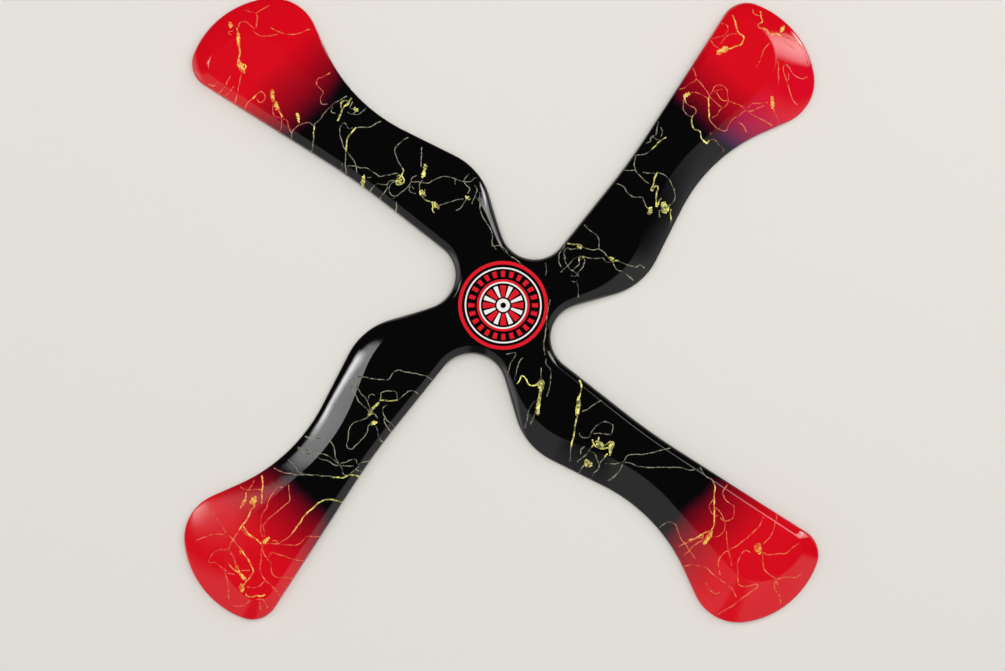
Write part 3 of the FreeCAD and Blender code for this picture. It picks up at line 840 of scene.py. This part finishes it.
def lay_threads(name, turn, threads, thickness, rise, finish):
    """Threads through these points, dropped on the board along a blade turned so many degrees.

    They are round and sunk in, so that only so much of their thickness stands off the lacquer.
    """
    bpy.ops.curve.primitive_bezier_curve_add(location=(0, 0, 0))
    laid = bpy.context.object
    laid.name = name
    laid.data.splines.clear()
    laid.data.resolution_u = 8
    for thread in threads:
        spline = laid.data.splines.new("BEZIER")
        spline.bezier_points.add(len(thread) - 1)
        for knot, (x, y) in zip(spline.bezier_points, thread):
            place = turn_point(x, y, turn) + SEEN_SHIFT
            knot.co = (place.x * MM, place.y * MM, DROPPED_FROM)
            knot.handle_left_type = "AUTO"
            knot.handle_right_type = "AUTO"
    bpy.ops.object.convert(target="MESH")
    bpy.ops.object.modifier_add(type="SHRINKWRAP")
    drop = laid.modifiers[0]
    drop.target = board
    drop.wrap_method = "PROJECT"
    drop.use_project_z = True
    drop.use_negative_direction = True
    drop.use_positive_direction = False
    bpy.ops.object.modifier_apply(modifier=drop.name)
    select_only(laid, "vertices", lambda vertex: vertex.co.z > DROPPED_FROM / 2)
    bpy.ops.mesh.delete(type="VERT")
    bpy.ops.object.mode_set(mode="OBJECT")
    bpy.ops.object.convert(target="CURVE")
    laid.data.bevel_depth = thickness / 2 * MM
    laid.data.bevel_resolution = 2
    laid.data.use_fill_caps = True
    for spline in laid.data.splines:
        for knot in spline.points:
            knot.co.xy += WANDER * MM * noise.noise_vector(knot.co.xyz / (WANDER_STEP * MM)).xy
            knot.radius = max(THINNEST, 1 + sum(much * noise.noise(knot.co.xyz / (step * MM))
                                                for much, step in SWELLS))
            knot.co.z += (rise - knot.radius * thickness / 2) * MM
    bpy.ops.object.convert(target="MESH")
    bpy.ops.object.shade_smooth()
    laid.data.materials.clear()
    laid.data.materials.append(finish)
    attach(laid, "root")


dull_paint = paint_finish("dull_thread_paint", DULL_OVER_BLACK, DULL_OVER_RED)
bright_paint = paint_finish("bright_thread_paint", BRIGHT_OVER_BLACK, BRIGHT_OVER_RED)
shake = random.Random(SEED)
noise.seed_set(SEED)                 # unseeded, the threads would stray another way in each run
for blade, turn in BLADES.items():
    lay_threads("dull_threads_" + blade, turn, DULL[blade], DULL_THICKNESS, DULL_RISE, dull_paint)
    bright = BRIGHT[blade] + [tangle(*blot, shake) for blot in BLOTS[blade]]
    lay_threads("bright_threads_" + blade, turn, bright, BRIGHT_THICKNESS, BRIGHT_RISE, bright_paint)
bpy.data.objects.remove(board)


# The table is a plain pale sheet. Soft lamps stand to the left and right of the board and mirror
# in its bevels, and a wide lamp overhead fills the shadows and leaves no mirror image on the
# lacquer. The room is dark, with two dim screens on the near side and a window on the left.
TABLE_SIZE = 12
TABLE_TOP = -0.0002                  # the board all but touches it
TABLE_PAINT = (0.70, 0.675, 0.63, 1)
TABLE_ROUGHNESS = 0.9
LAMP_WATTS = 4                       # for each square metre, at a brightness of 1

bpy.ops.mesh.primitive_plane_add(size=TABLE_SIZE, location=(0, 0, TABLE_TOP))
table = bpy.context.object
table.name = "table"
table_finish, shader, _ = new_finish("pale_table")
shader.inputs["Base Color"].default_value = TABLE_PAINT
shader.inputs["Roughness"].default_value = TABLE_ROUGHNESS
table.data.materials.append(table_finish)


def add_lamp(name, azimuth, zenith, distance, width, height, brightness, lean=0, hot_spot=0):
    """A soft lamp that faces the hub. Its direction from there and its lean are in degrees."""
    turn, tilt = math.radians(azimuth), math.radians(zenith)
    away = Vector((math.cos(turn) * math.sin(tilt), math.sin(turn) * math.sin(tilt), math.cos(tilt)))
    bpy.ops.object.light_add(type="AREA", location=away * distance)
    lamp = bpy.context.object
    lamp.name = name
    lamp.rotation_mode = "QUATERNION"
    lamp.rotation_quaternion = away.to_track_quat("Z", "Y") @ Quaternion((0, 0, 1), math.radians(lean))
    lamp.data.shape = "RECTANGLE"
    lamp.data.size = width
    lamp.data.size_y = height
    lamp.data.energy = LAMP_WATTS * brightness * width * height
    lamp.data.use_nodes = True
    nodes = lamp.data.node_tree.nodes
    spread = Value(nodes.new("ShaderNodeNewGeometry").outputs["Parametric"])
    across, along = spread.axis("X"), spread.axis("Y")
    inside = 16 * across * (1 - across) * along * (1 - along)      # 1 in the middle, 0 at the edge
    edged = inside.maths("MINIMUM", 2 * inside, 1)
    (edged * (1 + hot_spot * inside ** 4)).feed(nodes["Emission"], "Strength")
    return lamp


add_lamp("left_panel", azimuth=144, zenith=38, distance=1.4, width=0.40, height=0.50,
         brightness=3.2, lean=-12, hot_spot=0.2)
add_lamp("left_spot", azimuth=149, zenith=45.3, distance=1.0, width=0.19, height=0.19,
         brightness=3, hot_spot=3.2)
add_lamp("right_strip", azimuth=37.5, zenith=52, distance=1.4, width=0.36, height=1.69,
         brightness=3.3, lean=-9, hot_spot=0.8)
add_lamp("right_spot", azimuth=41, zenith=68, distance=1.4, width=0.2, height=0.26, brightness=9)
fill_lamp = add_lamp("overhead_fill", azimuth=270, zenith=4, distance=2.4, width=2.2, height=2.2,
                     brightness=2.6)
fill_lamp.visible_glossy = False

# The room, by direction: X and Y go from -1 to 1, and the near side has a Y below 0.
ROOM_LIGHT = 0.02
SCREEN_LIGHT = 0.6
RIGHT_SCREEN = 1.3                   # how much brighter the right screen is at its far end
GAP_LIGHT = 0.15                     # share of their light in the gap between the two screens
GAP_AT = 0.19                        # its direction, as X over Y
WINDOW_LIGHT = 1.5

world = bpy.data.worlds.new("studio")
bpy.context.scene.world = world
world.use_nodes = True
nodes = world.node_tree.nodes
towards = Value(nodes.new("ShaderNodeTexCoord").outputs["Generated"])
x, y = towards.axis("X"), towards.axis("Y")
near_side = y.ramp(0, -0.2, 0, SCREEN_LIGHT)
from_gap = x.maths("ABSOLUTE", x / y - GAP_AT)
two_screens = from_gap.ramp(0.2, 0.36, GAP_LIGHT, 1) * x.ramp(0.35, 0.7, 1, RIGHT_SCREEN)
window = x.ramp(-0.8, -0.95, 0, WINDOW_LIGHT)
(near_side * two_screens + window + ROOM_LIGHT).feed(nodes["Background"], "Color")
bpy.context.scene.view_settings.view_transform = "Standard"
